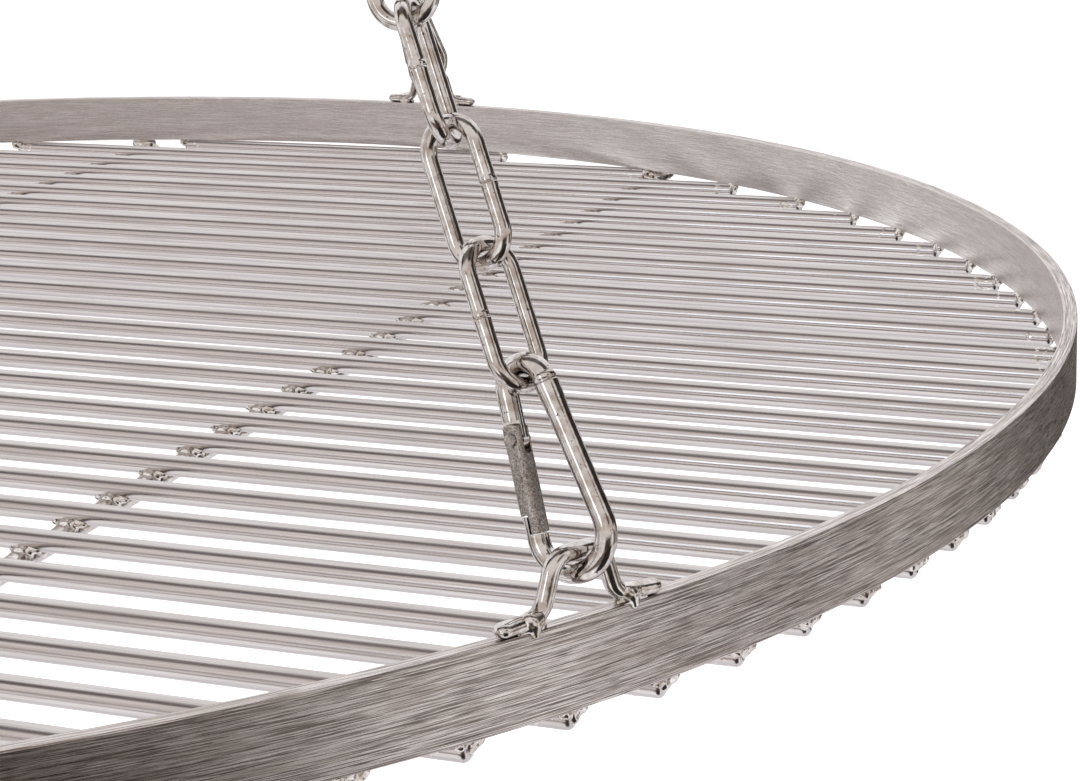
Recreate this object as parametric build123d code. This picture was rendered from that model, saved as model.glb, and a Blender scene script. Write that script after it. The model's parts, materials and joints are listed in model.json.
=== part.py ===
"""Hanging campfire grill grate: a welded round grate on three chains that meet in one ring.

Millimetres, +Z up.  The origin is where the tripod's hook bears, at the top of the ring's hole.
The grill rods run along X.  The three hangers are named front, back and left.
"""
from build123d import *
import os
from math import asin, atan2, cos, degrees, radians, sin, sqrt

# ---- grate ----------------------------------------------------------------------------------
rim_outer_r = 350.0
rim_thickness = 3.5
rim_height = 16.8
rim_drop = 762.5          # origin down to the rim's top edge
rod_d = 5.0
rod_pitch = 19.5
rod_pairs = 18            # equal rods, one each side of the middle
rod_sink = 0.4            # how far the welded rods press into the rim's lower edge
rod_end_r = 348.0         # the rods stop just short of the rim's outer face
rod_end_round = 1.4
bar_d = 5.0
bar_sink = 0.8            # how far the welded bars press into the rods
bar_middles = {"cross_bar_right": 147.0, "cross_bar_left": -71.0}
bar_skew = -2.8           # degrees off square to the rods
bar_end_r = 346.0

# ---- hangers --------------------------------------------------------------------------------
hanger_azimuths = {"front": -28.2, "back": 84.0, "left": 208.2}
eye_wire = 3.3
eye_loop_height = 12.1    # wire centre above the rim's top edge
eye_loop_half = 5.25
eye_foot_half = 8.5
eye_tip_half = 18.8
eye_loop_bend = 4.3
eye_foot_bend = 4.6

link_wire = 3.1
link_length = 29.3
link_width = 13.9
links_per_chain = 33
loose_links = 3           # lowest links, each a piece of its own
loose_turns = (-80.0, 0.0, 70.0)     # degrees from the hook, about the chain's line

ring_wire = 5.0
ring_hole_r = 20.0

# ---- snap hook ------------------------------------------------------------------------------
hook_wire = 4.0
hook_length = 42.2
hook_wide_r = 7.3         # wire centre, wide end
hook_narrow_r = 4.3       # wire centre, narrow end
hook_twists = {"front": 72.0, "back": 108.0, "left": 72.0}   # from the rim's tangent
gate_side = 4.1
gate_corner = 1.5
gate_pivot_s = 17.8       # up the gate's leg from where the wide end's bend stops
gate_end_r = 2.9          # rounded top of the gate, about its pivot
fork_half = 0.95
fork_depth = 2.7
tang_half = 0.8
tang_top = 3.3
nose_top_s = 4.0
nose_step_s = 0.6
lap_gap = 0.3
lap_half_gap = 0.15
rivet_d = 1.5
rivet_hole_clearance = 0.05
rivet_head_d = 2.6
rivet_head_h = 0.55
spring_wire = 0.35
spring_d = 1.45           # wire centre
spring_turns = 6
spring_pitch = 0.85
spring_bore_d = 2.0
spring_bore_depth = 6.4

# ---- gaps where two pieces bear on each other --------------------------------------------------
moving_gap = 0.3
ring_gap = 0.4

rim_top_z = -rim_drop
rim_bottom_z = rim_top_z - rim_height
rod_z = rim_bottom_z + rod_sink - rod_d / 2
bar_z = rod_z - rod_d / 2 + bar_sink - bar_d / 2
rim_mid_r = rim_outer_r - rim_thickness / 2
link_bend_r = (link_width - link_wire) / 2
link_centreline = link_length - link_wire
hook_centreline = hook_length - hook_wire
hook_centres = hook_centreline - hook_wide_r - hook_narrow_r
hook_taper = asin((hook_wide_r - hook_narrow_r) / hook_centres)
ring_mid_r = ring_hole_r + ring_wire / 2


def round_bar(diameter, start, end):
    """A straight round bar between two points."""
    start, end = Vector(*start), Vector(*end)
    section = Plane(origin=start, z_dir=end - start)
    return extrude(section * Circle(diameter / 2), amount=(end - start).length)


def sweep_wire(diameter, path):
    """A round wire along a smooth path."""
    section = Plane(origin=path @ 0, z_dir=path % 0)
    return sweep(section * Circle(diameter / 2), path=path)


# ---- grate ----------------------------------------------------------------------------------
def make_rim():
    outer = Cylinder(rim_outer_r, rim_height)
    inner = Cylinder(rim_outer_r - rim_thickness, rim_height)
    return Pos(0, 0, rim_top_z - rim_height / 2) * (outer - inner)


def make_rod(y):
    half = sqrt(rod_end_r**2 - y**2)
    rod = round_bar(rod_d, (-half, y, rod_z), (half, y, rod_z))
    return fillet(rod.edges().filter_by(GeomType.CIRCLE), rod_end_round)


def make_bar(middle, rods):
    """A cross bar, saddled where each rod presses into it."""
    along = Vector(sin(radians(bar_skew)), cos(radians(bar_skew)), 0)
    half = sqrt(bar_end_r**2 - middle**2)
    centre = Vector(middle, 0, bar_z)
    bar = round_bar(bar_d, centre - along * half, centre + along * half)
    return bar - rods


def make_eyelet(azimuth):
    """An omega of bent wire, standing on the rim's top edge."""
    foot_z = eye_wire / 2
    points = [
        (-eye_tip_half, foot_z),
        (-eye_foot_half, foot_z),
        (-eye_loop_half, eye_loop_height),
        (eye_loop_half, eye_loop_height),
        (eye_foot_half, foot_z),
        (eye_tip_half, foot_z),
    ]
    bends = [eye_foot_bend, eye_loop_bend, eye_loop_bend, eye_foot_bend]
    tangent = Vector(-sin(radians(azimuth)), cos(radians(azimuth)), 0)
    radial = Vector(cos(radians(azimuth)), sin(radians(azimuth)), 0)
    stand = Plane(origin=radial * rim_mid_r + Vector(0, 0, rim_top_z), x_dir=tangent, z_dir=radial)
    return sweep_wire(eye_wire, stand * FilletPolyline(*points, radius=bends))


# ---- ring and chain ---------------------------------------------------------------------------
def make_ring():
    ring = revolve(Plane.XZ * Pos(ring_mid_r, 0) * Circle(ring_wire / 2), Axis.Z, 360)
    return Pos(0, 0, -ring_hole_r) * Rot(90, 0, 0) * ring


def make_link():
    """One link lying in XY, long along Y."""
    straight = link_centreline / 2 - link_bend_r
    leg = Pos(link_bend_r, 0, 0) * Rot(90, 0, 0) * Cylinder(link_wire / 2, 2 * straight)
    section = Plane.XZ * Pos(link_bend_r, 0) * Circle(link_wire / 2)
    bend = Pos(0, straight, 0) * revolve(section, Axis.Z, 180)
    return leg + mirror(leg, Plane.YZ) + bend + mirror(bend, Plane.XZ)


class Hanger:
    """The straight line that one chain hangs along, from its eyelet up to the ring."""

    def __init__(self, name):
        turn = radians(hanger_azimuths[name])
        self.hook_twist = hook_twists[name]
        self.loose_twists = [self.hook_twist + turned for turned in loose_turns]
        self.radial = Vector(cos(turn), sin(turn), 0)
        self.foot = self.radial * rim_mid_r + Vector(0, 0, rim_top_z + eye_loop_height)
        ring_turn = atan2(self.foot.X, -ring_hole_r - self.foot.Z)
        self.ring_tangent = Vector(cos(ring_turn), 0, sin(ring_turn))
        centre = Vector(0, 0, -ring_hole_r)
        self.ring_point = centre + Vector(sin(ring_turn), 0, -cos(ring_turn)) * ring_mid_r
        self.length = (self.ring_point - self.foot).length
        self.up = (self.ring_point - self.foot).normalized()
        self.out = (self.radial - self.up * self.radial.dot(self.up)).normalized()
        self.side = self.up.cross(self.out)
        self.hook_base = -(eye_wire + hook_wire) / 2 - moving_gap

    def plane(self, distance, twist):
        """A plane whose X is across the chain at this twist and whose Y is up the chain."""
        across = self.side * cos(radians(twist)) + self.out * sin(radians(twist))
        return Plane(origin=self.foot + self.up * distance, x_dir=across, z_dir=across.cross(self.up))

    def link_places(self):
        """(distance, twist) of each link's middle, from the hook up to the ring."""
        hook_top = self.hook_base + hook_centreline
        first = hook_top - (hook_wire + link_wire) / 2 - moving_gap + link_centreline / 2
        loose_step = link_centreline - link_wire - moving_gap
        last = self.length + (link_wire + ring_wire) / 2 + ring_gap - link_centreline / 2
        joint = first + loose_links * loose_step
        steps = links_per_chain - loose_links - 1
        step = (last - joint) / steps
        assert 0.02 < link_centreline - link_wire - step < 0.2, "the chain is slack or too short"
        across_ring = self.up.cross(self.ring_tangent)
        last_twist = degrees(atan2(across_ring.dot(self.out), across_ring.dot(self.side)))
        spare = last_twist - self.loose_twists[-1] - 90 * (steps + 1)
        extra = ((spare + 90) % 180 - 90) / (steps + 1)
        places = [(first + k * loose_step, self.loose_twists[k]) for k in range(loose_links)]
        for k in range(steps + 1):
            places.append((joint + k * step, self.loose_twists[-1] + (k + 1) * (90 + extra)))
        return places


# ---- snap hook, drawn in XY: Y up the chain, X towards the spine, origin in the wide bend --------
def leg_point(s, out=0.0):
    """A point s up the gate's leg and out from its centre line."""
    tangent_x = -hook_wide_r * cos(hook_taper)
    tangent_y = hook_wide_r * sin(hook_taper)
    x = tangent_x + s * sin(hook_taper) - out * cos(hook_taper)
    y = tangent_y + s * cos(hook_taper) + out * sin(hook_taper)
    return Vector(x, y, 0)


def leg_plane(s):
    """At s up the gate's leg: X out from the hook, Y up the leg, Z across the hook."""
    return Plane(origin=leg_point(s), x_dir=leg_point(s, 1) - leg_point(s), z_dir=(0, 0, -1))


def leg_box(s, out_low, out_high, up_low, up_high, half_width=5.0):
    """A box in the leg's own directions, used to cut steps and slots."""
    middle = Pos((out_low + out_high) / 2, (up_low + up_high) / 2, 0)
    return leg_plane(s) * middle * Box(out_high - out_low, up_high - up_low, 2 * half_width)


def pivot_cylinder(radius, half_width):
    return leg_plane(gate_pivot_s) * Cylinder(radius, 2 * half_width)


def make_hook_body():
    """The bent rod: nose, wide bend, spine, narrow bend and the flat tang that holds the gate."""
    lean = Vector(cos(hook_taper), sin(hook_taper), 0)
    lean_left = Vector(-lean.X, lean.Y, 0)
    top = Vector(0, hook_centres, 0)
    start = leg_point(nose_top_s)
    low_left, low_right = lean_left * hook_wide_r, lean * hook_wide_r
    high_right, high_left = top + lean * hook_narrow_r, top + lean_left * hook_narrow_r
    path = Wire([
        Edge.make_line(start, low_left),
        Edge.make_three_point_arc(low_left, Vector(0, -hook_wide_r, 0), low_right),
        Edge.make_line(low_right, high_right),
        Edge.make_three_point_arc(high_right, top + Vector(0, hook_narrow_r, 0), high_left),
        Edge.make_line(high_left, leg_point(gate_pivot_s)),
    ])
    body = sweep_wire(hook_wire, path)
    wide = hook_wire
    body -= leg_box(0, -wide, lap_half_gap, nose_step_s, nose_top_s + 1)
    tang_round = pivot_cylinder(hook_wire / 2, hook_wire / 2)
    below = leg_box(gate_pivot_s, -wide, wide, -wide, 0)
    body += tang_round
    for side in (1, -1):
        shave = leg_box(gate_pivot_s, -wide, wide, -wide, tang_top, hook_wire)
        body -= Pos(0, 0, side * (hook_wire + tang_half)) * shave
    keep_lower = below & pivot_cylinder(hook_wire / 2, tang_half)
    body -= below
    body += keep_lower
    return body - pivot_cylinder(rivet_d / 2 + rivet_hole_clearance, wide)


def make_gate():
    """A square bar with soft corners: fork at the top, half lap at the bottom, spring bore inside."""
    length = gate_pivot_s + gate_end_r - nose_step_s - lap_gap
    foot = leg_plane(nose_step_s + lap_gap)
    section = Plane(origin=foot.origin, x_dir=foot.x_dir, z_dir=foot.y_dir)
    gate = extrude(section * RectangleRounded(gate_side, gate_side, gate_corner), amount=length)
    cap = leg_box(gate_pivot_s, -gate_side, gate_side, 0, gate_side)
    gate = (gate - cap) + (gate & cap & pivot_cylinder(gate_end_r, gate_side))
    gate -= leg_box(nose_top_s + lap_gap, -lap_half_gap, gate_side, -gate_side - 2, 0)
    gate -= leg_box(gate_pivot_s, -gate_side, gate_side, -fork_depth, gate_side, fork_half)
    bore_end = gate_pivot_s - fork_depth
    gate -= round_bar(spring_bore_d, leg_point(bore_end - spring_bore_depth), leg_point(bore_end))
    return gate - pivot_cylinder(rivet_d / 2, gate_side)


def make_rivet():
    half = gate_side / 2
    shank = pivot_cylinder(rivet_d / 2, half)
    head = Cylinder(rivet_head_d / 2, rivet_head_h)
    head = fillet(head.edges().group_by(Axis.Z)[-1], rivet_head_h * 0.8)
    place = leg_plane(gate_pivot_s)
    far_head = place * Pos(0, 0, half + rivet_head_h / 2) * head
    near_head = place * Rot(180, 0, 0) * Pos(0, 0, half + rivet_head_h / 2) * head
    return shank + far_head + near_head


def make_spring():
    """The small coil in the gate that closes it."""
    foot = leg_point(gate_pivot_s - fork_depth - spring_bore_depth + spring_wire)
    up = leg_plane(0).y_dir
    helix = Helix(spring_pitch, spring_pitch * spring_turns, spring_d / 2)
    section = Plane(origin=helix @ 0, z_dir=helix % 0)
    coil = sweep(section * Circle(spring_wire / 2), path=helix, is_frenet=True)
    return Plane(origin=foot, z_dir=up) * coil


# ---- write ----------------------------------------------------------------------------------
def write(name, *solids):
    """One file per piece; a repeated piece shares its file as separate solids."""
    shape = solids[0] if len(solids) == 1 else Compound(children=list(solids))
    shape.label = name
    export_step(shape, f"parts/{name}.step")


def solid_of(shape):
    return shape.solids()[0]


def write_grate():
    rim = make_rim()
    write("rim", rim)
    rods = []
    for pair in range(rod_pairs):
        y = (pair + 0.5) * rod_pitch
        both = [make_rod(y), make_rod(-y)]
        rods += both
        write(f"rod_pair_{pair + 1:02d}", *[solid_of(rod - rim) for rod in both])
    for name, middle in bar_middles.items():
        write(name, solid_of(make_bar(middle, rods)))


def write_hanger(name):
    hanger = Hanger(name)
    write(f"eyelet_{name}", make_eyelet(hanger_azimuths[name]))
    hook = hanger.plane(hanger.hook_base + hook_wide_r, hanger.hook_twist)
    write(f"snap_hook_{name}", solid_of(hook * make_hook_body()))
    write(f"hook_gate_{name}", solid_of(hook * make_gate()))
    write(f"hook_rivet_{name}", solid_of(hook * make_rivet()))
    write(f"hook_spring_{name}", solid_of(hook * make_spring()))
    link = make_link()
    links = [solid_of(hanger.plane(*place) * link) for place in hanger.link_places()]
    for k in range(loose_links):
        write(f"chain_{name}_link_{k + 1}", links[k])
    write(f"chain_{name}_upper_links", *links[loose_links:])


os.makedirs("parts", exist_ok=True)
write("top_ring", make_ring())
write_grate()
for hanger_name in hanger_azimuths:
    write_hanger(hanger_name)
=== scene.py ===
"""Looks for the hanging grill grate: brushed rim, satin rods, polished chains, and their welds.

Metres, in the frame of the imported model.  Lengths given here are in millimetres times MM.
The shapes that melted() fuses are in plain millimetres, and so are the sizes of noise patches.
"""
import json
import random
from math import cos, exp, hypot, pi, radians, sin, sqrt

import bmesh
import bpy
import numpy as np
from mathutils import Matrix, Vector, noise


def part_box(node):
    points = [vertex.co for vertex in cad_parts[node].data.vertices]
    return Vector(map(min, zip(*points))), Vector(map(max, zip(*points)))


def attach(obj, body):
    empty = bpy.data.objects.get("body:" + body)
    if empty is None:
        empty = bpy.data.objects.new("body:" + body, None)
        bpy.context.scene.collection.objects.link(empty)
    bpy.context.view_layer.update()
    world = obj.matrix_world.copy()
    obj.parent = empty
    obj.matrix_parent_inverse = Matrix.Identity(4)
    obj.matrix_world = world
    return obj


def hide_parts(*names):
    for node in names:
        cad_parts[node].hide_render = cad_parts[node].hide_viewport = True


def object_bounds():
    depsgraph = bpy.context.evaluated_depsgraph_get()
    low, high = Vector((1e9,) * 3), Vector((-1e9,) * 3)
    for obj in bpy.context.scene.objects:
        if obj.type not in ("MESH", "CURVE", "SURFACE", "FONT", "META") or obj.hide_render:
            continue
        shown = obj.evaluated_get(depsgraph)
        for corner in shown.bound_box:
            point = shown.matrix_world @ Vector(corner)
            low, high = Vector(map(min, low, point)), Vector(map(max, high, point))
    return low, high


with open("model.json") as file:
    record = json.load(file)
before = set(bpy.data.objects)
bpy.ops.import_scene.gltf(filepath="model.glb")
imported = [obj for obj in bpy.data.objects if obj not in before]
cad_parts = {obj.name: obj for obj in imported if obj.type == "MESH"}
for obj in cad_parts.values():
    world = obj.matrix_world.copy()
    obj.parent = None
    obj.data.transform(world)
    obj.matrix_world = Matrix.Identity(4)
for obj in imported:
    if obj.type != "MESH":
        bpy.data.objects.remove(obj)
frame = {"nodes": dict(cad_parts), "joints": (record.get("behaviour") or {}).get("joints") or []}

MM = 0.001
CAD_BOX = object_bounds()
JOINTS = {joint["name"]: joint for joint in frame["joints"]}
HANGERS = ("front", "back", "left")
CROSS_BARS = ("cross_bar_right", "cross_bar_left")
GRATE = "grate"

# ---- sizes read from the frame ------------------------------------------------------------------
rim_low, rim_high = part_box("rim")
rim_radii = [hypot(v.co.x, v.co.y) for v in frame["nodes"]["rim"].data.vertices]
RIM_OUTER, RIM_INNER = max(rim_radii), min(rim_radii)
RIM_MIDDLE = (RIM_OUTER + RIM_INNER) / 2
RIM_TOP, RIM_BOTTOM = rim_high.z, rim_low.z
PAIRS = sorted(name for name in frame["nodes"] if name.startswith("rod_pair_"))
rod_low, rod_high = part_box(PAIRS[0])
ROD_R = (rod_high.z - rod_low.z) / 2
ROD_Z = (rod_high.z + rod_low.z) / 2
BAR_R = ROD_R
BAR_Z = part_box(CROSS_BARS[0])[0].z + BAR_R

# ---- sizes of the bent wires, as in the design ---------------------------------------------------
LINK_WIRE_R = 1.55 * MM
LINK_HALF = 13.1 * MM           # wire centre, from the middle of a link to its end
LINK_BEND_R = 5.4 * MM
EYE_WIRE_R = 1.65 * MM
EYE_LOOP_Z = 12.1 * MM
EYE_LOOP_HALF = 5.25 * MM
EYE_FOOT_HALF = 8.5 * MM
EYE_TIP_HALF = 18.7 * MM
EYE_TIP_SINK = 0.85             # the pressed tip's centre, as a share of the wire's radius
EYE_LOOP_BEND = 4.3 * MM
EYE_FOOT_BEND = 4.6 * MM
EYE_WELD_AT = 10.9              # millimetres from the eyelet's middle to each weld
RING_MIDDLE = 22.5 * MM
RING_WIRE_R = 2.5 * MM
HOOK_WIRE_R = 2.0 * MM
HOOK_WIDE_R = 7.3 * MM
HOOK_NARROW_R = 4.3 * MM
HOOK_CENTRES = 26.6 * MM
COLLAR_START = 0.9              # millimetres above the end of the narrow bend
COLLAR_LENGTH = 9.0

# ---- how finely and how softly the metal is shaped ------------------------------------------------
RIM_EDGE = 0.4 * MM             # the round on each of the rim's four edges
RIM_EDGE_STEPS = 4
RIM_STEPS = 720
RIM_SEAM_AT = pi                # azimuth of the weld that closes the hoop
CAPSULE_SIDES = 28
LINK_SIDES = 20
EYE_SIDES = 24
RING_SIDES = 36
RING_STEPS = 240
COLLAR_SIDES = 28
COLLAR_STEPS = 90
EYE_STEP = 0.45 * MM
GATE_VOXEL = 0.13
CROSSING_VOXEL = 0.34
CROSSING_KINDS = 6
ROD_END_VOXEL = 0.42
EYE_WELD_VOXEL = 0.26

# ---- the camera -----------------------------------------------------------------------------------
CAMERA_AWAY = 2.18184 * RIM_OUTER       # level distance from the grate's axis
CAMERA_ABOVE = 0.470909 * RIM_OUTER     # above the rim's top edge
CAMERA_AZIMUTH = -50.4
CAMERA_TURN = -15.92                    # looks this far to the right of the axis
CAMERA_DOWN = 15.03
CAMERA_ROLL = -2.0165
CAMERA_LENS = 92.26
SENSOR = 36.0
CAMERA_NEAR, CAMERA_FAR = 0.05, 50

# ---- the room -------------------------------------------------------------------------------------
# The room in reflections, by the angle round an upright plane that faces ROOM_FACES: 0 is level
# ahead, 90 straight up, 180 level behind.  Each stop is an angle and a colour.
ROOM_FACES = -66.3
ROOM = (
    (-180, (0.80, 0.78, 0.79)),
    (-100, (0.74, 0.72, 0.75)),
    (-74, (0.97, 0.96, 0.98)),
    (-50, (1.0, 0.98, 0.98)),
    (-40, (0.16, 0.12, 0.105)),
    (-24, (0.15, 0.115, 0.10)),
    (-7, (0.50, 0.44, 0.41)),
    (6, (0.70, 0.64, 0.61)),
    (62, (0.74, 0.70, 0.68)),
    (73, (0.15, 0.13, 0.13)),
    (93, (0.17, 0.15, 0.15)),
    (104, (0.88, 0.87, 0.87)),
    (180, (0.86, 0.85, 0.86)),
)
# The room just below level, which the rim's upright faces reflect: azimuth and level.
SKIRTING = (
    (-180, 1.0),
    (-150, 0.96),
    (-118, 0.74),
    (-100, 0.92),
    (-83, 1.0),
    (-74, 0.45),
    (-66, 0.07),
    (-50, 0.06),
    (-33, 0.08),
    (-22, 0.28),
    (-14, 0.55),
    (-6, 0.95),
    (3, 0.78),
    (12, 0.32),
    (22, 0.14),
    (34, 0.18),
    (40, 0.34),
    (48, 0.60),
    (56, 0.40),
    (66, 0.12),
    (71, 0.02),
    (88, 0.04),
    (104, 0.40),
    (124, 0.58),
    (139, 0.82),
    (162, 0.98),
    (180, 1.0),
)
SKIRTING_TOP = (-0.10, 0.02)            # heights of a unit direction between which it fades out
SKIRTING_FOOT = (-0.42, -0.33)
# Round cards in that room: azimuth, elevation, radius where full, radius where gone, and level.
CARDS = (
    (-35, -46, 22, 32, 0.03),
    (-176, -24, 11, 17, 0.03),
    (-158, 38, 9, 15, 0.06),
    (-24, 28, 8, 15, 0.20),
    (32, 24, 14, 22, 0.04),
    (60, 8, 11, 17, 0.04),
    (-106, 13, 5, 10, 1.70),
    (-10, 66, 12, 18, 0.08),
)
ROOM_STRENGTH = 1.2
# Soft panels: name, azimuth, elevation, distance, size and watts.
PANELS = (
    ("key", -150, 52, 2.4, (0.9, 0.9), 9),
    ("back", 100, 30, 2.6, (2.0, 0.4), 8),
    ("strip", -30, 38, 2.2, (0.25, 1.4), 5),
)
FLOOR_BELOW = 0.65                      # from the grate's lowest point, as under a tripod
FLOOR_HALF = 14.0
WHITE = (1, 1, 1, 1)


# ---- small helpers ------------------------------------------------------------------------------
def bell(distance, width, power=2):
    """1 at no distance, fading smoothly to nothing well past the width."""
    return exp(-((distance / width) ** power))


def clamped(value):
    """The value kept within 0..1."""
    return min(1.0, max(0.0, value))


def node(tree, kind, inputs=(), **settings):
    """A shader node.  An input is a number, a colour or another node's output."""
    made = tree.nodes.new("ShaderNode" + kind)
    for key, value in settings.items():
        setattr(made, key, value)
    for key, value in dict(inputs).items():
        if isinstance(value, bpy.types.NodeSocket):
            tree.links.new(value, made.inputs[key])
        else:
            made.inputs[key].default_value = value
    return made


def math_of(tree, operation, first, second=0.0):
    """One arithmetic step on two values."""
    return node(tree, "Math", {0: first, 1: second}, operation=operation).outputs[0]


def spread(tree, value, low, high, out_low, out_high):
    """A value from low..high mapped smoothly to out_low..out_high."""
    inputs = {"Value": value, "From Min": low, "From Max": high, "To Min": out_low, "To Max": out_high}
    return node(tree, "MapRange", inputs, interpolation_type="SMOOTHSTEP").outputs["Result"]


def mixed(tree, share, first, second):
    """Two colours mixed by a share."""
    return node(tree, "Mix", {0: share, 6: first, 7: second}, data_type="RGBA").outputs[2]


def grain(tree, coordinates, sizes, detail=3.0, roughness=0.55, seed=0.0):
    """Noise whose patches have these sizes along the coordinates' own axes, in millimetres."""
    scale = [1 / (size * MM) for size in sizes]
    shift = (seed, seed * 1.7, seed * 2.3)
    mapped = node(tree, "Mapping", {"Vector": coordinates, "Scale": scale, "Location": shift})
    inputs = {"Vector": mapped.outputs[0], "Scale": 1.0, "Detail": detail, "Roughness": roughness}
    return node(tree, "TexNoise", inputs).outputs["Fac"]


def bumped(tree, heights):
    """A normal from (height, strength, millimetres) layers, one on top of the other."""
    normal = None
    for height, strength, distance in heights:
        inputs = {"Height": height, "Strength": strength, "Distance": distance * MM}
        if normal is not None:
            inputs["Normal"] = normal
        normal = node(tree, "Bump", inputs).outputs["Normal"]
    return normal


def new_metal(name):
    """A material with a bare metal shader: (material, tree, shader, object coordinates)."""
    material = bpy.data.materials.new(name)
    material.use_nodes = True
    tree = material.node_tree
    tree.nodes.clear()
    shader = node(tree, "BsdfPrincipled", {"Metallic": 1.0})
    node(tree, "OutputMaterial", {"Surface": shader.outputs[0]})
    place = node(tree, "TexCoord").outputs["Object"]
    return material, tree, shader, place


def surfaced(tree, shader, colour, roughness, heights):
    """Gives a shader its colour, its roughness and its bumps."""
    tree.links.new(colour, shader.inputs["Base Color"])
    tree.links.new(roughness, shader.inputs["Roughness"])
    tree.links.new(bumped(tree, heights), shader.inputs["Normal"])


def heat_and_painted_shade_of(tree):
    """The heat channel, 0 to 1, painted on the mesh: heat tint beside each weld, a painted dark reflection on
    the crossings, painted shade in the hook collars' grooves, and darkening towards the rim on the eyelet
    welds.
    """
    return node(tree, "Attribute", attribute_name="heat").outputs["Fac"]


def tinted(tree, colour, heat):
    """Straw and then brown over a bare metal colour: heat tint, and painted shade where the channel carries
    it.
    """
    straw, brown = (0.66, 0.52, 0.33, 1), (0.30, 0.20, 0.15, 1)
    warmed = mixed(tree, spread(tree, heat, 0.05, 0.55, 0.0, 0.75), colour, straw)
    return mixed(tree, spread(tree, heat, 0.5, 1.0, 0.0, 0.6), warmed, brown)


# ---- materials ----------------------------------------------------------------------------------
def round_the_hoop(tree, place):
    """(coordinates unrolled along the hoop, radius) from object coordinates."""
    xyz = node(tree, "SeparateXYZ", {0: place}).outputs
    along = math_of(tree, "MULTIPLY", math_of(tree, "ARCTAN2", xyz[1], xyz[0]), RIM_MIDDLE)
    squares = [math_of(tree, "MULTIPLY", xyz[axis], xyz[axis]) for axis in (0, 1)]
    radius = math_of(tree, "SQRT", math_of(tree, "ADD", *squares))
    return node(tree, "CombineXYZ", {0: along, 1: radius, 2: xyz[2]}).outputs[0], radius


def brushed_rim():
    """Flat bar ground along its length: streaks run round the hoop, and its inner face has fainter streaks
    and is painted lighter.
    """
    dark, light, brown = (0.27, 0.232, 0.215, 1), (0.84, 0.785, 0.765, 1), (0.40, 0.33, 0.285, 1)
    bare, darker, smooth = (0.97, 0.94, 0.92, 1), (0.13, 0.105, 0.095, 1), (0.86, 0.82, 0.81, 1)
    material, tree, shader, place = new_metal("brushed_rim")
    wrapped, radius = round_the_hoop(tree, place)
    coarse = grain(tree, wrapped, (17, 0.17, 0.17), 2.5, 0.6)
    fine = grain(tree, wrapped, (4, 0.12, 0.12), 3.0, 0.6, 3.1)
    cloudy = grain(tree, wrapped, (30, 5, 5), 3.0, 0.6, 7.7)
    scratch = grain(tree, wrapped, (12, 0.17, 0.17), 1.0, 0.5, 11.3)
    groove = grain(tree, wrapped, (10, 0.19, 0.19), 1.0, 0.5, 17.9)
    colour = mixed(tree, spread(tree, coarse, 0.42, 0.58, 0.0, 1.0), dark, light)
    colour = mixed(tree, spread(tree, cloudy, 0.42, 0.66, 0.0, 0.4), colour, brown)
    colour = mixed(tree, spread(tree, scratch, 0.60, 0.66, 0.0, 0.85), colour, bare)
    colour = mixed(tree, spread(tree, groove, 0.60, 0.67, 0.0, 0.8), colour, darker)
    # The inner face gets fainter streaks and a painted lighter colour, which is painted light on that face.
    inner_painted_light = spread(tree, radius, RIM_INNER + 0.1 * MM, RIM_INNER + 0.5 * MM, 0.62, 0.0)
    colour = tinted(tree, mixed(tree, inner_painted_light, colour, smooth), heat_and_painted_shade_of(tree))
    roughness = spread(tree, fine, 0.3, 0.7, 0.22, 0.38)
    surfaced(tree, shader, colour, roughness, ((coarse, 0.6, 0.05), (fine, 0.5, 0.025), (scratch, 0.3, 0.03)))
    shader.inputs["Anisotropic"].default_value = 0.55
    tangent = node(tree, "Tangent", direction_type="RADIAL", axis="Z").outputs[0]
    tree.links.new(tangent, shader.inputs["Tangent"])
    return material


def lengthwise(along, long, across):
    """Patch sizes that are long along one axis and even across the other two."""
    return [long if axis == along else across for axis in range(3)]


def drawn_rod(name, along):
    """Satin drawn bar with faint lines along its length, which is axis 0 or 1."""
    dark, light, brown = (0.57, 0.535, 0.53, 1), (0.70, 0.665, 0.66, 1), (0.50, 0.455, 0.43, 1)
    material, tree, shader, place = new_metal(name)
    lines = grain(tree, place, lengthwise(along, 22, 0.16), 3.0, 0.6)
    cloudy = grain(tree, place, lengthwise(along, 34, 3.0), 3.0, 0.55, 5.3)
    specks = grain(tree, place, (0.5, 0.5, 0.5), 2.0, 0.5, 9.1)
    colour = mixed(tree, spread(tree, lines, 0.32, 0.68, 0.0, 1.0), dark, light)
    colour = mixed(tree, spread(tree, cloudy, 0.4, 0.72, 0.0, 0.4), colour, brown)
    roughness = spread(tree, cloudy, 0.3, 0.7, 0.17, 0.27)
    layers = ((lines, 0.2, 0.015), (specks, 0.08, 0.015))
    surfaced(tree, shader, tinted(tree, colour, heat_and_painted_shade_of(tree)), roughness, layers)
    return material


def polished_wire():
    """Tumbled and polished stainless wire: small dents, faint scuffs, and a warm tint at the welds."""
    bright, brown, pitted = (0.70, 0.675, 0.66, 1), (0.46, 0.405, 0.365, 1), (0.14, 0.10, 0.075, 1)
    material, tree, shader, place = new_metal("polished_wire")
    dents = grain(tree, place, (2.2, 2.2, 2.2), 2.0, 0.5)
    scuffs = grain(tree, place, (0.45, 0.45, 0.45), 4.0, 0.6, 4.4)
    pits = grain(tree, place, (0.8, 0.8, 0.8), 2.0, 0.5, 8.8)
    colour = mixed(tree, spread(tree, dents, 0.35, 0.7, 0.0, 1.0), bright, brown)
    colour = mixed(tree, spread(tree, pits, 0.66, 0.73, 0.0, 0.8), colour, pitted)
    roughness = spread(tree, scuffs, 0.35, 0.75, 0.03, 0.13)
    layers = ((dents, 0.30, 0.16), (scuffs, 0.10, 0.02), (pits, 0.2, 0.03))
    surfaced(tree, shader, tinted(tree, colour, heat_and_painted_shade_of(tree)), roughness, layers)
    return material


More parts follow.
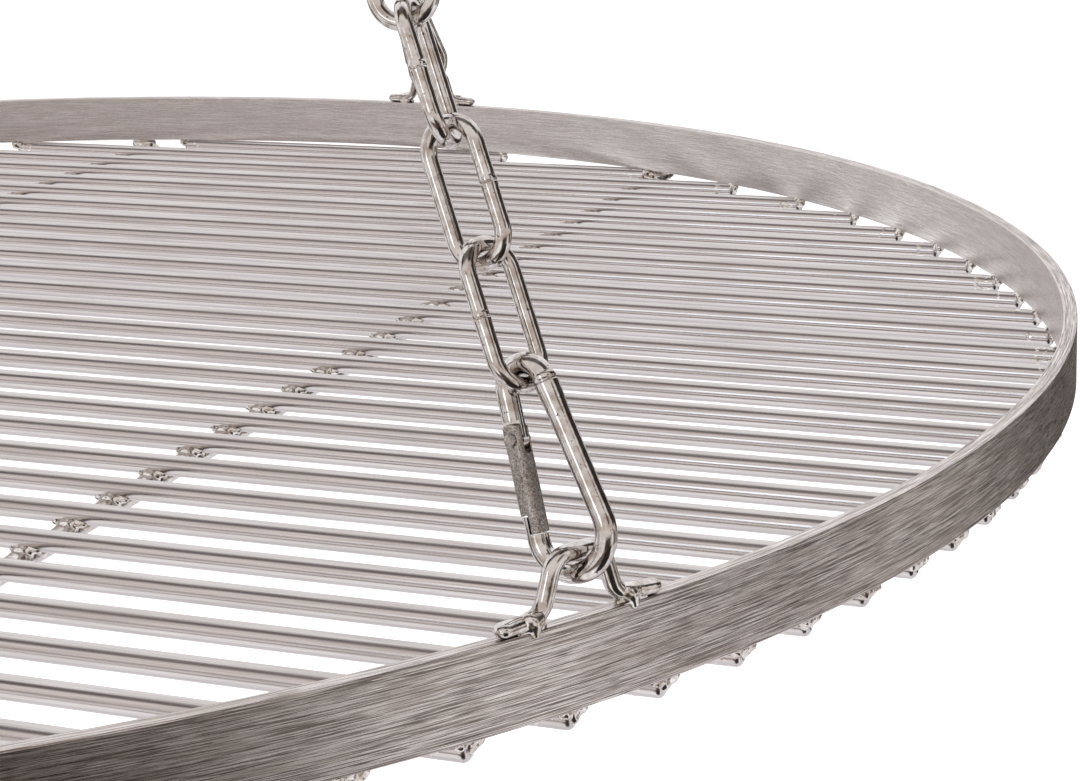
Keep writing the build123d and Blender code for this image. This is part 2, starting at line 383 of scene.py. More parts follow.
def cast_gate():
    """The gate's grainy cast skin."""
    dark, light, rubbed = (0.15, 0.125, 0.11, 1), (0.52, 0.48, 0.455, 1), (0.62, 0.585, 0.56, 1)
    material, tree, shader, place = new_metal("cast_gate")
    grains = grain(tree, place, (0.30, 0.30, 0.30), 4.0, 0.65)
    worn = grain(tree, place, (2.6, 2.6, 2.6), 3.0, 0.6, 2.2)
    colour = mixed(tree, spread(tree, grains, 0.35, 0.65, 0.0, 1.0), dark, light)
    colour = mixed(tree, spread(tree, worn, 0.5, 0.72, 0.0, 0.5), colour, rubbed)
    roughness = spread(tree, worn, 0.35, 0.7, 0.40, 0.24)
    surfaced(tree, shader, colour, roughness, ((grains, 0.7, 0.07), (worn, 0.2, 0.1)))
    return material


def spring_steel():
    """Hard drawn spring wire, a little dull."""
    dark, light = (0.46, 0.45, 0.44, 1), (0.62, 0.61, 0.60, 1)
    material, tree, shader, place = new_metal("spring_steel")
    scale = grain(tree, place, (0.2, 0.2, 0.2), 3.0, 0.6)
    colour = mixed(tree, spread(tree, scale, 0.35, 0.7, 0.0, 1.0), dark, light)
    roughness = spread(tree, scale, 0.3, 0.7, 0.2, 0.34)
    surfaced(tree, shader, colour, roughness, ((scale, 0.2, 0.02),))
    return material


def weld_metal():
    """Metal that melted and set: glossy, rippled, straw-coloured in places, and near black where the heat
    channel is high, which is a painted dark reflection on the crossings and darker towards the rim on the
    eyelet welds.
    """
    bright, straw = (0.78, 0.75, 0.73, 1), (0.58, 0.51, 0.44, 1)
    sooty, painted_dark = (0.12, 0.095, 0.08, 1), (0.085, 0.055, 0.04, 1)
    material, tree, shader, place = new_metal("weld_metal")
    ripples = grain(tree, place, (0.9, 0.9, 0.9), 3.0, 0.55)
    skin = grain(tree, place, (2.4, 2.4, 2.4), 3.0, 0.6, 6.1)
    soot = grain(tree, place, (1.3, 1.3, 1.3), 4.0, 0.6, 12.9)
    colour = mixed(tree, spread(tree, skin, 0.4, 0.7, 0.0, 1.0), bright, straw)
    colour = mixed(tree, spread(tree, soot, 0.56, 0.70, 0.0, 0.7), colour, sooty)
    # Near black from the heat channel: a painted dark reflection on the crossings, darker towards the rim on
    # the eyelet welds.
    colour = mixed(tree, spread(tree, heat_and_painted_shade_of(tree), 0.25, 0.85, 0.0, 0.92), colour, painted_dark)
    roughness = spread(tree, skin, 0.3, 0.7, 0.10, 0.26)
    surfaced(tree, shader, colour, roughness, ((ripples, 0.12, 0.05),))
    return material


# ---- mesh builders ------------------------------------------------------------------------------
class Mesh:
    """Vertices and faces gathered for one piece, with each vertex's value in the channel that carries heat
    tint and painted shade.
    """

    def __init__(self):
        self.points, self.faces, self.heat = [], [], []

    def add(self, points, faces, heat=None, matrix=None):
        """Adds a shape, placed by the matrix, cold and unshaded unless its heat tint and painted shade are
        given.
        """
        start = len(self.points)
        placed = points if matrix is None else [matrix @ Vector(p) for p in points]
        self.points += [tuple(p) for p in placed]
        self.faces += [tuple(start + index for index in face) for face in faces]
        self.heat += list(heat) if heat is not None else [0.0] * len(points)

    def piece(self, name, material, body, slot, *replaced):
        """Makes the object, smooth, riding on its body."""
        mesh = bpy.data.meshes.new(name)
        mesh.from_pydata(self.points, [], self.faces)
        mesh.polygons.foreach_set("use_smooth", [True] * len(mesh.polygons))
        mesh.attributes.new("heat", "FLOAT", "POINT").data.foreach_set("value", self.heat)
        mesh.materials.append(material)
        mesh.update()
        made = bpy.data.objects.new(name, mesh)
        bpy.context.scene.collection.objects.link(made)
        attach(made, body)
        if replaced:
            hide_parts(*replaced)
        return made


def node_points(name):
    """The vertices of a CAD node, one a row."""
    mesh = frame["nodes"][name].data
    points = np.zeros(len(mesh.vertices) * 3)
    mesh.vertices.foreach_get("co", points)
    return points.reshape(-1, 3)


def banded(rows, around, closed):
    """Quads between rings of points, and from the last ring back to the first if closed."""
    faces = []
    for row in range(rows if closed else rows - 1):
        here, there = row * around, (row + 1) % rows * around
        for step in range(around):
            beside = (step + 1) % around
            faces.append((here + step, here + beside, there + beside, there + step))
    return faces


def flat_tube(path, radius_at, around, closed):
    """A wire along a flat path in XY: (points, faces).

    radius_at(index, angle) is the wire's radius there; angle 0 faces left of the path, 90 faces +Z.
    """
    count = len(path)
    points = []
    for index, (x, y) in enumerate(path):
        after = path[(index + 1) % count] if closed else path[min(index + 1, count - 1)]
        before = path[index - 1] if closed else path[max(index - 1, 0)]
        ahead = Vector((after[0] - before[0], after[1] - before[1], 0)).normalized()
        left = Vector((-ahead.y, ahead.x, 0))
        for step in range(around):
            angle = 2 * pi * step / around
            spoke = left * cos(angle) + Vector((0, 0, 1)) * sin(angle)
            points.append(Vector((x, y, 0)) + spoke * radius_at(index, angle))
    faces = banded(count, around, closed)
    if not closed:
        faces.append(tuple(range(around - 1, -1, -1)))
        faces.append(tuple(range((count - 1) * around, count * around)))
    return points, faces


def arc(centre, radius, start, end, steps):
    """Points on an arc from start to end, in degrees, without its last point."""
    turns = [radians(start + (end - start) * step / steps) for step in range(steps)]
    return [(centre[0] + radius * cos(turn), centre[1] + radius * sin(turn)) for turn in turns]


def run(first, last, steps):
    """Points on a straight run, without its last point."""
    shares = [step / steps for step in range(steps)]
    return [(first[0] + (last[0] - first[0]) * s, first[1] + (last[1] - first[1]) * s) for s in shares]


def bent(corners, bends, step):
    """A path through corners, each rounded to its bend radius, with points about a step apart."""
    path = []
    here = Vector(corners[0])
    for index, radius in enumerate(bends):
        corner = Vector(corners[index + 1])
        back = (Vector(corners[index]) - corner).normalized()
        ahead = (Vector(corners[index + 2]) - corner).normalized()
        half = back.angle(ahead) / 2
        start = corner + back * radius / np.tan(half)
        end = corner + ahead * radius / np.tan(half)
        centre = corner + (back + ahead).normalized() * radius / sin(half)
        path += run(here, start, max(2, round((start - here).length / step)))
        first = start - centre
        turn = first.angle_signed(end - centre)
        steps = max(6, round(abs(turn) * radius / step))
        path += [tuple(centre + Matrix.Rotation(-turn * k / steps, 2) @ first) for k in range(steps)]
        here = end
    last = Vector(corners[-1])
    path += run(here, last, max(2, round((last - here).length / step)))
    path.append(tuple(last))
    return path


def add_capsule(work, start, end, first, last):
    """A bar from start to end that goes from one radius to the other, with a ball on each end."""
    start, end = Vector(start), Vector(end)
    turn = (end - start).to_track_quat("Z", "Y").to_matrix().to_4x4()
    place = Matrix.Translation((start + end) / 2) @ turn
    bmesh.ops.create_cone(
        work, cap_ends=True, segments=CAPSULE_SIDES, radius1=first, radius2=last,
        depth=(end - start).length, matrix=place,
    )
    for at, radius in ((start, first), (end, last)):
        bmesh.ops.create_icosphere(work, subdivisions=3, radius=radius, matrix=Matrix.Translation(at))


def reskinned(mesh, voxel, smoothing, offset_at):
    """A mesh in millimetres remade as one softened skin: (points, faces).

    offset_at(place) is how far the skin moves outwards there.
    """
    work = bpy.data.objects.new("work", mesh)
    bpy.context.scene.collection.objects.link(work)
    remesh = work.modifiers.new("skin", "REMESH")
    remesh.mode = "VOXEL"
    remesh.voxel_size = voxel
    smooth = work.modifiers.new("edges", "SMOOTH")
    smooth.factor = 0.5
    smooth.iterations = smoothing
    shaped = work.evaluated_get(bpy.context.evaluated_depsgraph_get())
    result = shaped.to_mesh()
    points = [(vertex.co + vertex.normal * offset_at(vertex.co)) * MM for vertex in result.vertices]
    faces = [tuple(face.vertices) for face in result.polygons]
    shaped.to_mesh_clear()
    bpy.data.objects.remove(work)
    bpy.data.meshes.remove(mesh)
    return points, faces


def melted(shapes, voxel, smoothing, roughness, seed):
    """Capsules fused into one skin with soft fillets: (points, faces).

    A shape is (start, end, start radius, end radius), in millimetres.
    """
    work = bmesh.new()
    for shape in shapes:
        add_capsule(work, *shape)
    mesh = bpy.data.meshes.new("melt")
    work.to_mesh(mesh)
    work.free()
    shift = Vector((seed, seed, seed))
    return reskinned(mesh, voxel, smoothing, lambda place: noise.noise(place * 0.9 + shift) * roughness)


# ---- the grate ------------------------------------------------------------------------------------
def rim_profile():
    """The hoop's section as (radius, z), with its four edges rounded."""
    corners = (
        (RIM_OUTER - RIM_EDGE, RIM_TOP - RIM_EDGE, 0),
        (RIM_INNER + RIM_EDGE, RIM_TOP - RIM_EDGE, 90),
        (RIM_INNER + RIM_EDGE, RIM_BOTTOM + RIM_EDGE, 180),
        (RIM_OUTER - RIM_EDGE, RIM_BOTTOM + RIM_EDGE, 270),
    )
    profile = []
    for radius, z, start in corners:
        for step in range(RIM_EDGE_STEPS + 1):
            turn = radians(start + 90 * step / RIM_EDGE_STEPS)
            profile.append((radius + RIM_EDGE * cos(turn), z + RIM_EDGE * sin(turn)))
    return profile


def make_rim(material):
    """The hoop, turned from its section, and the tint of its closing weld."""
    profile = rim_profile()
    points, heat = [], []
    for index in range(RIM_STEPS):
        turn = 2 * pi * index / RIM_STEPS
        away = abs((turn - RIM_SEAM_AT + pi) % (2 * pi) - pi) * RIM_MIDDLE
        points += [(radius * cos(turn), radius * sin(turn), z) for radius, z in profile]
        heat += [0.8 * bell(away, 7 * MM)] * len(profile)
    faces = [(a, d, c, b) for a, b, c, d in banded(RIM_STEPS, len(profile), True)]
    rim = Mesh()
    rim.add(points, faces, heat)
    sharpen(rim.piece("rim_hoop", material, GRATE, "brushed_rim", "rim"))


def sharpen(made):
    """Keeps broad flat faces flat where they meet a small round edge."""
    weighted = made.modifiers.new("faces", "WEIGHTED_NORMAL")
    weighted.keep_sharp = True
    weighted.weight = 100


def rod_rows():
    """(y, half length) of every rod."""
    for name in PAIRS:
        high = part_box(name)[1]
        for side in (1, -1):
            yield side * (high.y - ROD_R), high.x


def bar_line(name):
    """(middle, direction) of a cross bar's axis, from its mesh."""
    points = node_points(name)
    middle = (points.max(0) + points.min(0)) / 2
    far = points[points[:, 1] > points[:, 1].max() - MM]
    near = points[points[:, 1] < points[:, 1].min() + MM]
    along = Vector(far.mean(0) - near.mean(0))
    along.z = 0
    return Vector((middle[0], middle[1], BAR_Z)), along.normalized()


def crossing_shapes(dice, lean):
    """The nugget where a cross bar is pressed into a rod, about the rod's axis."""
    rod, bar = ROD_R / MM, BAR_R / MM
    drop = (BAR_Z - ROD_Z) / MM
    reach, fade = 3.6, 8.2
    shapes = [((-3.0, 0, 0.2), (3.0, 0, 0.2), rod - 0.35, rod - 0.35)]
    for side in (1, -1):
        foot = (side * lean * reach, side * reach, drop + 0.16)
        faded = (side * lean * fade, side * fade, drop + 0.1)
        shapes.append((foot, faded, bar + 0.12, bar - 0.1))
        shapes.append(((0, 0, drop + 0.3), foot, bar, bar + 0.12))
    for side in (1, -1):
        high = drop * dice.uniform(0.42, 0.52)
        near = side * dice.uniform(1.5, 1.9)
        long = dice.uniform(3.6, 4.6)
        shapes.append(((2.0, near, high), (long, near * 0.9, high * 0.95), dice.uniform(1.15, 1.4), 0.8))
        shapes.append(((-2.2, near, high), (-long * 0.8, near * 0.9, high), dice.uniform(0.9, 1.2), 0.6))
        shapes.append(((0, side * 2.9, drop * 0.72), (0, side * 3.6, drop * 0.9), bar * 0.86, bar * 0.94))
    return shapes


def painted_dark_side(points):
    """A painted dark reflection on a crossing, kept in the heat channel: the -X side of the bar, lower down,
    painted dark, the +X side left bright.
    """
    return [clamped(0.5 - p[0] / (1.6 * MM)) * clamped(0.35 - p[2] / (2.2 * MM)) for p in points]


def make_crossings(material):
    """The resistance welds along both cross bars."""
    dice = random.Random(4)
    for name in CROSS_BARS:
        middle, along = bar_line(name)
        lean = along.x / along.y
        kinds = [
            melted(crossing_shapes(dice, lean), CROSSING_VOXEL, 5, 0.05, kind * 3.7)
            for kind in range(CROSSING_KINDS)
        ]
        welds = Mesh()
        for y, _ in rod_rows():
            x = middle.x + lean * (y - middle.y)
            points, faces = kinds[dice.randrange(CROSSING_KINDS)]
            # The -X side of each crossing is painted dark: a painted reflection, kept in the heat channel.
            welds.add(points, faces, painted_dark_side(points), Matrix.Translation((x, y, ROD_Z)))
        welds.piece(f"{name}_welds", material, GRATE, "satin_rods")


def rod_end_shapes(dice, y, half):
    """A rod's end and the beads that hang it from the rim's lower edge, about the rod's axis."""
    end, row, rim, rod = half / MM - 0.9, y / MM, RIM_MIDDLE / MM, ROD_R / MM
    under = RIM_BOTTOM / MM - ROD_Z / MM
    shapes = [((end - 5.5, 0, 0), (end - 1.4, 0, 0), rod + 0.03, rod - dice.uniform(0.0, 0.3))]
    for flank in (1, -1):
        across = flank * dice.uniform(1.7, 2.5)
        wide = dice.uniform(1.1, 1.65)
        x = min(sqrt(rim**2 - (row + across) ** 2), end + 1.5)
        shapes.append(((x, across, under - 0.7), (x - 0.8, across * 0.5, under - 1.6), wide, wide * 0.95))
    x = min(sqrt(rim**2 - row**2), end)
    shapes.append(((x, 0, under - 0.6), (x + 0.1, 0, under - 2.1), 1.75, dice.uniform(1.2, 1.8)))
    return shapes


def make_rod_ends(material):
    """The welds that join each rod's end to the rim's lower edge."""
    dice = random.Random(9)
    welds = Mesh()
    for y, half in rod_rows():
        for side in (1, -1):
            points, faces = melted(rod_end_shapes(dice, y, half), ROD_END_VOXEL, 4, 0.3, y / MM + side)
            if side < 0:
                faces = [tuple(reversed(face)) for face in faces]
            place = Matrix.Translation((0, y, ROD_Z)) @ Matrix.Diagonal((side, 1, 1, 1))
            welds.add(points, faces, None, place)
    welds.piece("rod_end_welds", material, GRATE, "satin_rods")


# ---- hangers --------------------------------------------------------------------------------------
def eyelet_frame(name):
    """The upright plane of an eyelet: X along the rim, Y up, Z outwards, origin on the rim's top edge."""
    foot = Vector(JOINTS[f"hook_{name}_twist"]["pos_m"])
    out = Vector((foot.x, foot.y, 0)).normalized()
    along = Vector((-out.y, out.x, 0))
    matrix = Matrix((along, Vector((0, 0, 1)), along.cross(Vector((0, 0, 1))))).transposed().to_4x4()
    matrix.translation = Vector((foot.x, foot.y, RIM_TOP))
    return matrix


def make_eyelet_wire(name, material):
    """An omega of wire with pressed tips and a nick before each."""
    corners = [
        (-EYE_TIP_HALF, EYE_WIRE_R * EYE_TIP_SINK),
        (-EYE_FOOT_HALF, EYE_WIRE_R),
        (-EYE_LOOP_HALF, EYE_LOOP_Z),
        (EYE_LOOP_HALF, EYE_LOOP_Z),
        (EYE_FOOT_HALF, EYE_WIRE_R),
        (EYE_TIP_HALF, EYE_WIRE_R * EYE_TIP_SINK),
    ]
    path = bent(corners, [EYE_FOOT_BEND, EYE_LOOP_BEND, EYE_LOOP_BEND, EYE_FOOT_BEND], EYE_STEP)
    lengths = [0.0]
    for before, after in zip(path, path[1:]):
        lengths.append(lengths[-1] + hypot(after[0] - before[0], after[1] - before[1]))

    def radius_at(index, angle):
        tip = min(lengths[index], lengths[-1] - lengths[index])
        press = 1 + bell(tip, 4.2 * MM) * (0.16 * sin(angle) ** 2 - 0.16 * cos(angle) ** 2)
        dent = 1 - 0.05 * bell(tip - 6.5 * MM, 1.1 * MM)
        round_end = sqrt(max(0.0, 1 - max(0.0, 1 - tip / (1.8 * MM)) ** 2))
        return EYE_WIRE_R * press * dent * max(0.12, round_end)

    points, faces = flat_tube(path, radius_at, EYE_SIDES, False)
    heat = [0.7 * bell(abs(p[0]) - 10.6 * MM, 3.0 * MM) * exp(-p[1] / (2.8 * MM)) for p in points]
    eyelet = Mesh()
    eyelet.add(points, faces, heat, eyelet_frame(name))
    eyelet.piece(f"eyelet_{name}_wire", material, GRATE, "polished_wire", f"eyelet_{name}")


def eyelet_weld_shapes(at, side):
    """The drops that hold one foot of an eyelet, about the middle of its frame."""
    outer = RIM_OUTER / MM - RIM_MIDDLE / MM
    return [
        ((at - 0.7, 2.0, 0.6), (at + 0.7, 1.9, 0.7), 1.75, 1.7),
        ((at - 0.2, 1.5, 1.2), (at + side * 0.3, -0.3, outer - 0.2), 1.55, 0.95),
        ((at + side * 1.6, 0.8, 1.0), (at + side * 3.4, 0.4, 1.1), 0.95, 0.5),
        ((at - 1.0, 0.7, -1.1), (at + 1.1, 0.7, -1.3), 1.1, 0.95),
        ((at - side * 2.6, 0.4, 0.8), (at - side * 1.3, 0.6, 1.0), 0.5, 0.9),
    ]


def make_eyelet_welds(name, material):
    """The weld drops at both feet of an eyelet, darker towards the rim."""
    dice = random.Random(f"eyelet {name}")
    welds = Mesh()
    for side in (1, -1):
        at = side * (EYE_WELD_AT + dice.uniform(-0.3, 0.3))
        points, faces = melted(eyelet_weld_shapes(at, side), EYE_WELD_VOXEL, 3, 0.10, at * 5)
        # Darker towards the rim, kept in the heat channel.
        darker = [clamped(0.75 - p[1] / (1.9 * MM)) for p in points]
        welds.add(points, faces, darker, eyelet_frame(name))
    welds.piece(f"eyelet_{name}_welds", material, GRATE, "polished_wire")


def link_mesh():
    """One polished link lying in XY, long along Y, with its butt weld on the +X leg."""
    straight = LINK_HALF - LINK_BEND_R
    seam = 1.7 * MM
    path = run((LINK_BEND_R, -straight), (LINK_BEND_R, -seam), 8)
    path += run((LINK_BEND_R, -seam), (LINK_BEND_R, seam), 26)
    path += run((LINK_BEND_R, seam), (LINK_BEND_R, straight), 8)
    path += arc((0, straight), LINK_BEND_R, 0, 180, 26)
    path += run((-LINK_BEND_R, straight), (-LINK_BEND_R, -straight), 16)
    path += arc((0, -straight), LINK_BEND_R, 180, 360, 26)

    def radius_at(index, angle):
        x, y = path[index]
        if x < LINK_BEND_R * 0.99:
            return LINK_WIRE_R * (1 - 0.012 * abs(sin(angle)))
        swell = 0.10 * bell(y, 1.0 * MM)
        groove = 0.17 * bell(y, 0.13 * MM)
        flash = 0.05 * bell(y - 0.75 * MM, 0.25 * MM) * (1 + cos(3 * angle))
        return LINK_WIRE_R + (swell - groove + flash) * MM

    points, faces = flat_tube(path, radius_at, LINK_SIDES, True)
    heat = [0.75 * bell(p[1], 1.6 * MM) if p[0] > 0 else 0.0 for p in points]
    return points, faces, heat


def link_place(points, up, seam_side):
    """The matrix that lays a link over these points of a CAD link, weld towards seam_side."""
    up = np.array(up) / np.linalg.norm(up)
    flat = points - np.outer(points @ up, up)
    flat = flat - flat.mean(0)
    across = np.linalg.eigh(flat.T @ flat)[1][:, 2]
    across = across if across @ np.array(seam_side) > 0 else -across
    basis = np.array([across, up, np.cross(across, up)])
    spans = points @ basis.T
    middle = (spans.max(0) + spans.min(0)) / 2 @ basis
    matrix = Matrix(basis.T.tolist()).to_4x4()
    matrix.translation = Vector(middle)
    return matrix


def make_chain(name, wire):
    """All links of one chain, each laid over its CAD link; the welds' sides alternate."""
    joint = JOINTS[f"hook_{name}_twist"]
    up = Vector(joint["axis"])
    foot = Vector(joint["pos_m"])
    side = up.cross(Vector((foot.x, foot.y, 0))).normalized()
    points, faces, heat = link_mesh()
    for k in (1, 2, 3):
        node_name = f"chain_{name}_link_{k}"
        link = Mesh()
        link.add(points, faces, heat, link_place(node_points(node_name), up, side * (-1) ** k))
        link.piece(f"{node_name}_wire", wire, f"link_{name}_{k}", "polished_wire", node_name)
    node_name = f"chain_{name}_upper_links"
    every = node_points(node_name)
    first, second = (Vector(JOINTS[f"link_{name}_{k}_twist"]["pos_m"]) for k in (1, 2))
    length = np.ptp(every @ np.array(up))
    count = round((length - 2 * (LINK_HALF + LINK_WIRE_R)) / (second - first).length) + 1
    upper = Mesh()
    for index, block in enumerate(np.split(every, count)):
        upper.add(points, faces, heat, link_place(block, up, side * (-1) ** index))
    upper.piece(f"{node_name}_wire", wire, GRATE, "polished_wire", node_name)


def hook_frame(name):
    """The snap hook's own frame: X to the spine, Y up the chain, origin in the middle of the wide bend."""
    twist, gate = JOINTS[f"hook_{name}_twist"], JOINTS[f"gate_{name}_open"]
    up, normal = Vector(twist["axis"]).normalized(), Vector(gate["axis"]).normalized()
    across = up.cross(normal)
    low = min(Vector(p).dot(up) for p in node_points(f"snap_hook_{name}"))
    foot = Vector(twist["pos_m"])
    matrix = Matrix((across, up, normal)).transposed().to_4x4()
    matrix.translation = foot + up * (low + HOOK_WIRE_R + HOOK_WIDE_R - foot.dot(up))
    return matrix


def make_hook_collar(name, wire):
    """The rolled shoulder on the hook's spine, just below the narrow bend."""
    taper = np.arcsin((HOOK_WIDE_R - HOOK_NARROW_R) / HOOK_CENTRES)
    lean = Vector((cos(taper), sin(taper), 0))
    down = Vector((sin(taper), -cos(taper), 0))
    top = Vector((0, HOOK_CENTRES, 0)) + lean * HOOK_NARROW_R
    stations = [COLLAR_LENGTH * k / COLLAR_STEPS for k in range(COLLAR_STEPS + 1)]
    path = [tuple((top + down * (along - COLLAR_START) * MM)[:2]) for along in stations]

    def radius_at(index, angle):
        along = stations[index]
        ridge = 0.22 * bell(along - 0.8, 0.5, 4)
        shoulder = 0.30 * clamped((along - 1.75) / 0.15) * bell(along - 1.75, 4.6)
        groove = 0.04 * bell(along - 1.5, 0.3, 4)
        return HOOK_WIRE_R + (ridge + shoulder + groove - 0.03) * MM

    points, faces = flat_tube(path, radius_at, COLLAR_SIDES, False)
    # Painted shade: a dark ring in the collar's groove, kept in the heat channel.
    heat = [bell(along - 1.52, 0.2) for along in stations for _ in range(COLLAR_SIDES)]
    collar = Mesh()
    collar.add(points, faces, heat, hook_frame(name))
    collar.piece(f"snap_hook_{name}_collar", wire, f"hook_{name}", "polished_wire")


def make_gate(name, material):
    """The cast gate: the CAD gate's shape with rounded edges and a grainy skin."""
    node_name = f"hook_gate_{name}"
    source = frame["nodes"][node_name].data.copy()
    source.transform(Matrix.Scale(1 / MM, 4))

    def grains(place):
        return noise.noise(place * 2.6) * 0.025 + noise.noise(place * 6.0) * 0.012 - 0.01

    gate = Mesh()
    gate.add(*reskinned(source, GATE_VOXEL, 3, grains))
    gate.piece(f"{node_name}_skin", material, f"gate_{name}", "gate_steel", node_name)


def make_ring(wire):
    """The top ring, standing in the XZ plane, with its butt weld at one side."""
    low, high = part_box("top_ring")
    path = arc((0, 0), RING_MIDDLE, 0, 360, RING_STEPS)

    def radius_at(index, angle):
        away = min(index, RING_STEPS - index) * 2 * pi * RING_MIDDLE / RING_STEPS
        return RING_WIRE_R + 0.16 * MM * bell(away, 1.4 * MM) * (1 + 0.3 * cos(5 * angle))

    points, faces = flat_tube(path, radius_at, RING_SIDES, True)
    heat = [0.7 * exp(-(((p[0] - RING_MIDDLE) / (5 * MM)) ** 2 + (p[1] / (2.6 * MM)) ** 2)) for p in points]
    stand = Matrix.Translation((low + high) / 2) @ Matrix.Rotation(pi / 2, 4, "X")
    ring = Mesh()
    ring.add(points, faces, heat, stand)
    ring.piece("top_ring_wire", wire, "top_ring", "polished_wire", "top_ring")


# ---- studio ---------------------------------------------------------------------------------------
def direction(azimuth, elevation):
    """The unit direction towards an azimuth and elevation, in degrees."""
    a, e = radians(azimuth), radians(elevation)
    return (cos(a) * cos(e), sin(a) * cos(e), sin(e))


def ramp_of(tree, share, stops):
    """A colour ramp over 0..1 through (angle, colour) stops from -180 to 180."""
    made = node(tree, "ValToRGB", {0: share})
    elements = made.color_ramp.elements
    for angle, colour in stops[1:-1]:
        elements.new(angle / 360 + 0.5).color = (*colour, 1)
    elements[0].color, elements[-1].color = (*stops[0][1], 1), (*stops[-1][1], 1)
    return made.outputs["Color"]


def turn_share(tree, rise, across):
    """The angle of (across, rise), as 0..1 for -180..180 degrees."""
    around = math_of(tree, "ARCTAN2", rise, across)
    return math_of(tree, "ADD", math_of(tree, "MULTIPLY", around, 0.5 / pi), 0.5)


def warm(level):
    """Grey at this level, browner where it is dark."""
    brown = 1 - level
    return level, level * (1 - 0.14 * brown), level * (1 - 0.24 * brown)


def facing(tree, place, azimuth, elevation):
    """How squarely the looked-at direction faces an azimuth and elevation, as a cosine."""
    inputs = {0: place, 1: direction(azimuth, elevation)}
    return node(tree, "VectorMath", inputs, operation="DOT_PRODUCT").outputs["Value"]


def make_world():
    """White where the camera sees it, and in reflections a room with bands, a skirting and cards."""
    world = bpy.data.worlds.new("studio")
    bpy.context.scene.world = world
    world.use_nodes = True
    tree = world.node_tree
    tree.nodes.clear()
    place = node(tree, "TexCoord").outputs["Generated"]
    x, y, z = node(tree, "SeparateXYZ", {0: place}).outputs
    shade = ramp_of(tree, turn_share(tree, z, facing(tree, place, ROOM_FACES, 0)), ROOM)
    levels = [(angle, warm(level)) for angle, level in SKIRTING]
    skirting = ramp_of(tree, turn_share(tree, y, x), levels)
    below_top = spread(tree, z, *SKIRTING_TOP, 1.0, 0.0)
    above_foot = spread(tree, z, *SKIRTING_FOOT, 0.0, 1.0)
    shade = mixed(tree, math_of(tree, "MULTIPLY", below_top, above_foot), shade, skirting)
    for azimuth, elevation, full, gone, level in CARDS:
        edges = (cos(radians(gone)), cos(radians(full)))
        on_card = spread(tree, facing(tree, place, azimuth, elevation), *edges, 0.0, 1.0)
        shade = mixed(tree, on_card, shade, (*warm(level), 1))
    seen = node(tree, "LightPath").outputs["Is Camera Ray"]
    colour = mixed(tree, seen, shade, WHITE)
    background = node(tree, "Background", {"Color": colour, "Strength": ROOM_STRENGTH})
    node(tree, "OutputWorld", {"Surface": background.outputs[0]})


def make_panel(name, azimuth, elevation, distance, size, energy):
    """A soft panel that looks at the middle of the grate and doesn't show in reflections."""
    data = bpy.data.lights.new(name, "AREA")
    data.shape = "RECTANGLE"
    data.size, data.size_y = size
    data.energy = energy
    light = bpy.data.objects.new(name, data)
    bpy.context.scene.collection.objects.link(light)
    target = Vector((0, 0, RIM_TOP))
    light.location = target + Vector(direction(azimuth, elevation)) * distance
    light.rotation_mode = "QUATERNION"
    light.rotation_quaternion = (target - light.location).to_track_quat("-Z", "Y")
    light.visible_glossy = False


def make_floor():
    """A plain white floor, as far below the grate as under a tripod."""
    z = CAD_BOX[0].z - FLOOR_BELOW
    corners = [(x * FLOOR_HALF, y * FLOOR_HALF, z) for x, y in ((-1, -1), (1, -1), (1, 1), (-1, 1))]
    mesh = bpy.data.meshes.new("floor")
    mesh.from_pydata(corners, [], [(0, 1, 2, 3)])
    material = bpy.data.materials.new("floor_white")
    material.use_nodes = True
    tree = material.node_tree
    tree.nodes.clear()
    matt = node(tree, "BsdfDiffuse", {"Color": (0.9, 0.9, 0.9, 1)})
    glow = node(tree, "Emission", {"Color": WHITE, "Strength": 0.6})
    both = node(tree, "AddShader", {0: matt.outputs[0], 1: glow.outputs[0]})
    node(tree, "OutputMaterial", {"Surface": both.outputs[0]})
    mesh.materials.append(material)
    made = bpy.data.objects.new("floor", mesh)
    bpy.context.scene.collection.objects.link(made)
    made.visible_glossy = False


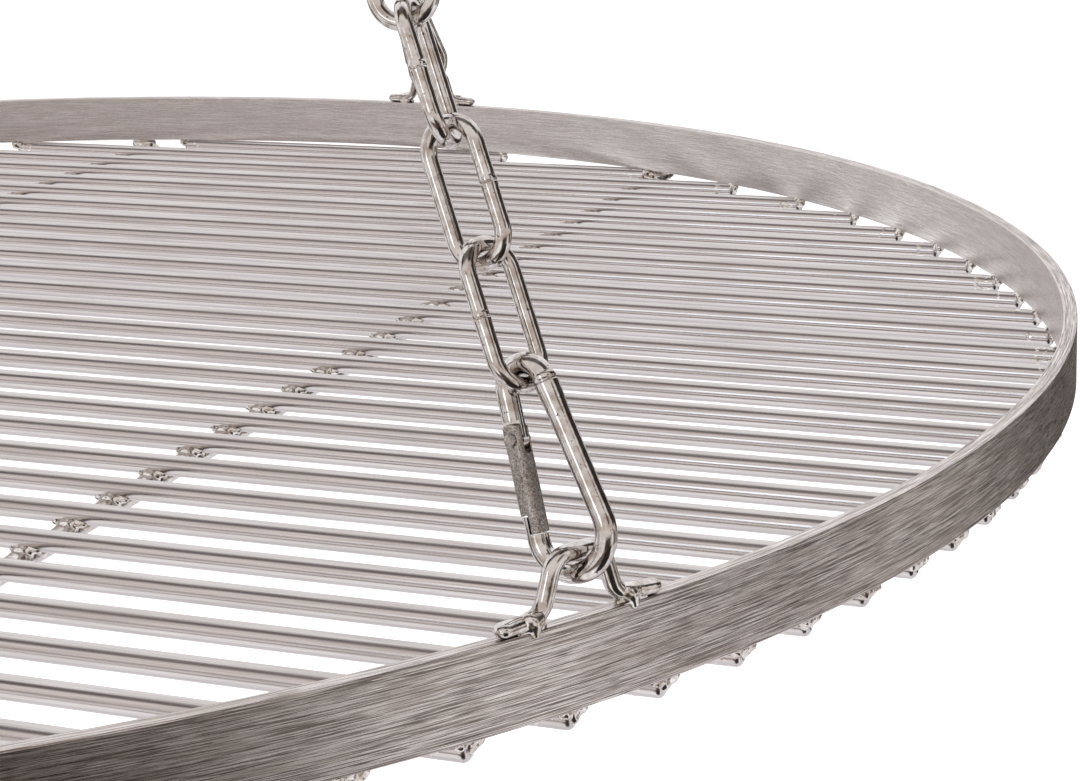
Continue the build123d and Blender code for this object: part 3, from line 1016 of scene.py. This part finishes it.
def make_camera():
    """The camera, outside the grate and above it, turned off its axis and rolled a little."""
    azimuth = radians(CAMERA_AZIMUTH)
    place = Vector((cos(azimuth), sin(azimuth), 0)) * CAMERA_AWAY
    place.z = RIM_TOP + CAMERA_ABOVE
    heading, down, roll = azimuth + pi + radians(CAMERA_TURN), radians(CAMERA_DOWN), radians(CAMERA_ROLL)
    ahead = Vector((cos(heading) * cos(down), sin(heading) * cos(down), -sin(down)))
    right = ahead.cross(Vector((0, 0, 1))).normalized()
    up = right.cross(ahead)
    rolled_right = right * cos(roll) + up * sin(roll)
    rolled_up = up * cos(roll) - right * sin(roll)
    data = bpy.data.cameras.new("camera")
    data.lens, data.sensor_width = CAMERA_LENS, SENSOR
    data.clip_start, data.clip_end = CAMERA_NEAR, CAMERA_FAR
    camera = bpy.data.objects.new("camera", data)
    bpy.context.scene.collection.objects.link(camera)
    matrix = Matrix((rolled_right, rolled_up, -ahead)).transposed().to_4x4()
    matrix.translation = place
    camera.matrix_world = matrix
    bpy.context.scene.camera = camera


def dress(names, material):
    """Gives CAD nodes a finished material."""
    for name in names:
        for material_slot in frame["nodes"][name].material_slots:
            material_slot.material = material


bpy.context.scene.view_settings.view_transform = "Standard"
rim_steel, wire_steel, gate_steel, weld_steel = brushed_rim(), polished_wire(), cast_gate(), weld_metal()
dress(PAIRS, drawn_rod("satin_rod", 0))
dress(CROSS_BARS, drawn_rod("satin_bar", 1))
dress([f"snap_hook_{name}" for name in HANGERS], wire_steel)
dress([f"hook_rivet_{name}" for name in HANGERS], gate_steel)
dress([f"hook_spring_{name}" for name in HANGERS], spring_steel())
make_rim(rim_steel)
make_crossings(weld_steel)
make_rod_ends(weld_steel)
make_ring(wire_steel)
for hanger in HANGERS:
    make_eyelet_wire(hanger, wire_steel)
    make_eyelet_welds(hanger, weld_steel)
    make_chain(hanger, wire_steel)
    make_hook_collar(hanger, wire_steel)
    make_gate(hanger, gate_steel)
make_world()
make_floor()
for panel in PANELS:
    make_panel(*panel)
make_camera()
